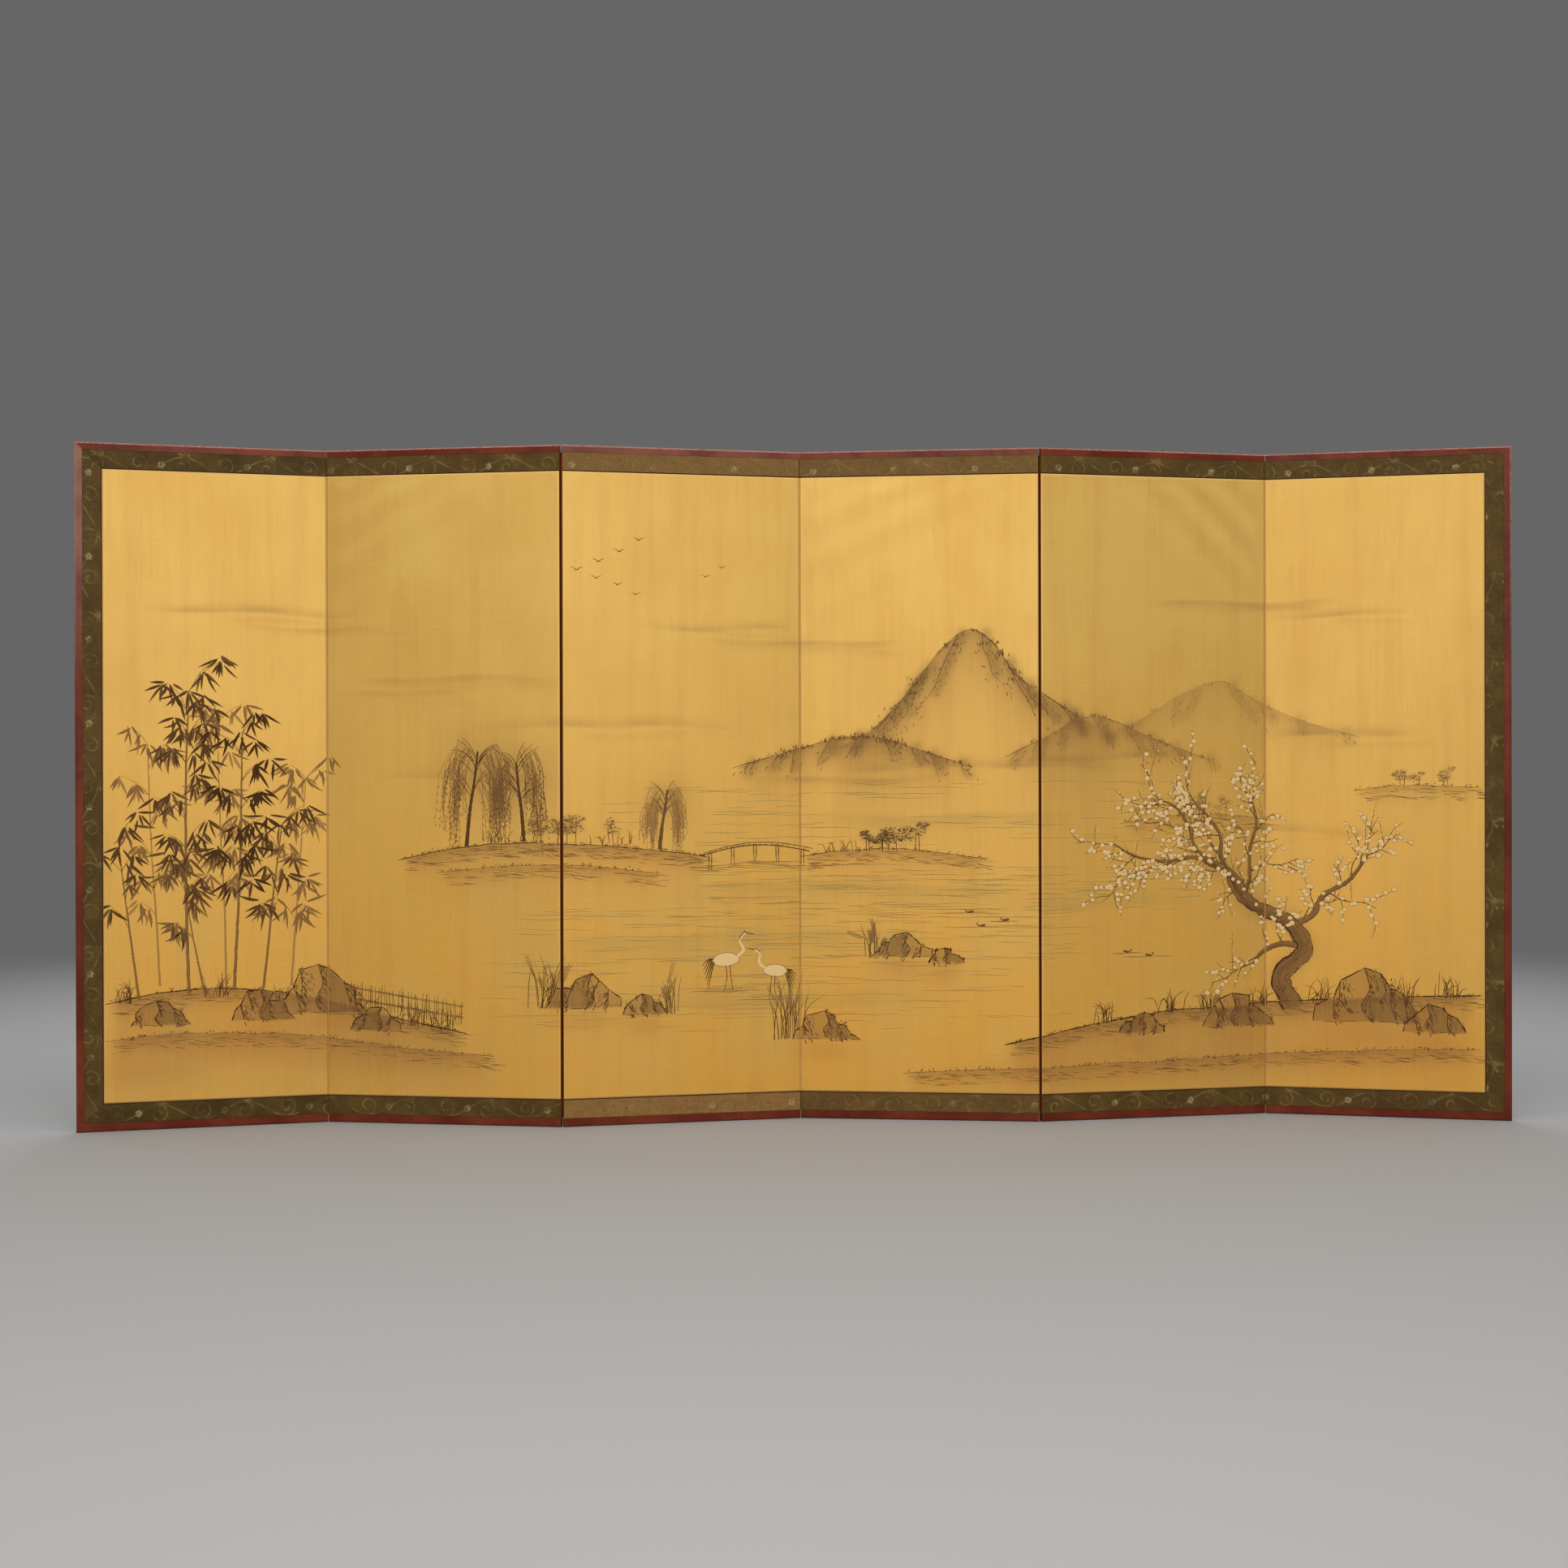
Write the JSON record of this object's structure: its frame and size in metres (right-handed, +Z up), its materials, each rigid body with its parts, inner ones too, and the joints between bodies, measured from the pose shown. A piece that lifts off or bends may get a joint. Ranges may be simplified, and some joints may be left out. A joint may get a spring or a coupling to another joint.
{
  "type": "byobu folding screen",
  "caption": "Standing folding screen of papered lattice panels with gold silk, brocade borders and a red lacquer frame, joined by paper hinges so that it folds flat like an accordion.",
  "frame": {"origin": "on the floor, below the middle of the standing screen", "axes": "+Z up; the painted side faces -Y; +X to the right of someone who looks at the painted side"},
  "size_m": [3.6234, 0.1684, 1.72],
  "materials": {
    "gold_silk": "gold-toned fine silk with a soft sheen and ink painting",
    "brocade": "olive-brown silk brocade with a pale woven scroll",
    "red_lacquer": "dark red lacquer over wood, satin, worn lighter on the edges",
    "back_paper": "matt block-printed paper",
    "washi": "layered unbleached washi",
    "hinge_paper": "tough washi dyed dark red-brown",
    "cedar": "planed cedar",
    "nail_steel": "forged iron"
  },
  "bodies": {
    "panel_1": {"panel_1_core": "cedar", "panel_1_under_paper": "washi", "panel_1_painting_silk": "gold_silk", "panel_1_brocade_border": "brocade", "panel_1_back_paper": "back_paper", "panel_1_top_rail": "red_lacquer", "panel_1_bottom_rail": "red_lacquer", "panel_1_frame_pins": "nail_steel", "left_outer_stile": "red_lacquer", "fold_1_left_hinge_paper": "hinge_paper"},
    "panel_2": {"panel_2_core": "cedar", "panel_2_under_paper": "washi", "panel_2_painting_silk": "gold_silk", "panel_2_brocade_border": "brocade", "panel_2_back_paper": "back_paper", "panel_2_top_rail": "red_lacquer", "panel_2_bottom_rail": "red_lacquer", "panel_2_frame_pins": "nail_steel", "fold_1_right_hinge_paper": "hinge_paper", "fold_2_left_hinge_paper": "hinge_paper"},
    "panel_3": {"panel_3_core": "cedar", "panel_3_under_paper": "washi", "panel_3_painting_silk": "gold_silk", "panel_3_brocade_border": "brocade", "panel_3_back_paper": "back_paper", "panel_3_top_rail": "red_lacquer", "panel_3_bottom_rail": "red_lacquer", "panel_3_frame_pins": "nail_steel", "fold_2_right_hinge_paper": "hinge_paper", "fold_3_left_hinge_paper": "hinge_paper"},
    "panel_4": {"panel_4_core": "cedar", "panel_4_under_paper": "washi", "panel_4_painting_silk": "gold_silk", "panel_4_brocade_border": "brocade", "panel_4_back_paper": "back_paper", "panel_4_top_rail": "red_lacquer", "panel_4_bottom_rail": "red_lacquer", "panel_4_frame_pins": "nail_steel", "fold_3_right_hinge_paper": "hinge_paper", "fold_4_left_hinge_paper": "hinge_paper"},
    "panel_5": {"panel_5_core": "cedar", "panel_5_under_paper": "washi", "panel_5_painting_silk": "gold_silk", "panel_5_brocade_border": "brocade", "panel_5_back_paper": "back_paper", "panel_5_top_rail": "red_lacquer", "panel_5_bottom_rail": "red_lacquer", "panel_5_frame_pins": "nail_steel", "fold_4_right_hinge_paper": "hinge_paper", "fold_5_left_hinge_paper": "hinge_paper"},
    "panel_6": {"panel_6_core": "cedar", "panel_6_under_paper": "washi", "panel_6_painting_silk": "gold_silk", "panel_6_brocade_border": "brocade", "panel_6_back_paper": "back_paper", "panel_6_top_rail": "red_lacquer", "panel_6_bottom_rail": "red_lacquer", "panel_6_frame_pins": "nail_steel", "fold_5_right_hinge_paper": "hinge_paper", "right_outer_stile": "red_lacquer"}
  },
  "joints": [
    {"name": "fold_1", "type": "hinge", "parent": "panel_2", "child": "panel_1", "pos_m": [-1.21165, 0.04931, 0.86], "axis": [0, 0, 1], "range_deg": [-23, 157]},
    {"name": "fold_2", "type": "hinge", "parent": "panel_3", "child": "panel_2", "pos_m": [-0.60586, -0.03995, 0.86], "axis": [0, 0, -1], "range_deg": [-20.5, 159.5]},
    {"name": "fold_3", "type": "hinge", "parent": "panel_3", "child": "panel_4", "pos_m": [-0.00006, 0.04922, 0.86], "axis": [0, 0, -1], "range_deg": [-18.5, 161.5]},
    {"name": "fold_4", "type": "hinge", "parent": "panel_4", "child": "panel_5", "pos_m": [0.60847, -0.01885, 0.86], "axis": [0, 0, 1], "range_deg": [-18, 162]},
    {"name": "fold_5", "type": "hinge", "parent": "panel_5", "child": "panel_6", "pos_m": [1.21502, 0.06504, 0.86], "axis": [0, 0, -1], "range_deg": [-24, 156]}
  ]
}
